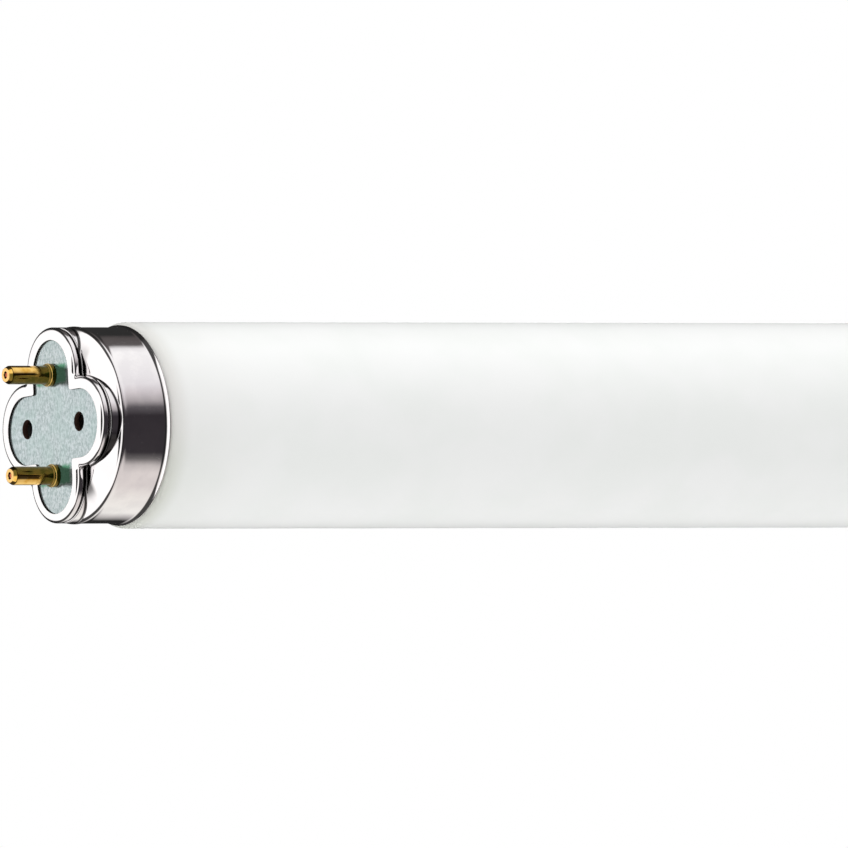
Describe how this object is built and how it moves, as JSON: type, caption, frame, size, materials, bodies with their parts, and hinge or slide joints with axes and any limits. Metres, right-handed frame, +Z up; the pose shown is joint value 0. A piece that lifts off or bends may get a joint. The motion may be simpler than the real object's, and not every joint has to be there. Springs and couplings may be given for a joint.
{
  "type": "fluorescent tube",
  "caption": "Straight white glass tube lamp with a drawn aluminium cap on each end, each with a four-lobed face and a pair of hollow brass contact pins.",
  "frame": {"origin": "middle of the lamp, on the tube's axis", "axes": "+X along the tube's axis, from the left cap to the right cap; +Z up, with both pairs of pins in the XZ plane; +Y across"},
  "size_m": [0.6026, 0.026, 0.026],
  "materials": {
    "bulb": "white coating seen through smooth clear glass",
    "cap": "bright drawn aluminium",
    "disc": "matte, pale green-grey, finely speckled",
    "pin": "bright turned brass",
    "wire": "copper-coloured wire",
    "cement": "matte beige cement"
  },
  "bodies": {
    "root": {"glass_bulb": "bulb", "left_cap_shell": "cap", "left_insulating_disc": "disc", "left_upper_pin": "pin", "left_lower_pin": "pin", "left_upper_lead_wire": "wire", "left_lower_lead_wire": "wire", "left_cement_ring": "cement", "right_cap_shell": "cap", "right_insulating_disc": "disc", "right_upper_pin": "pin", "right_lower_pin": "pin", "right_upper_lead_wire": "wire", "right_lower_lead_wire": "wire", "right_cement_ring": "cement"}
  },
  "joints": []
}
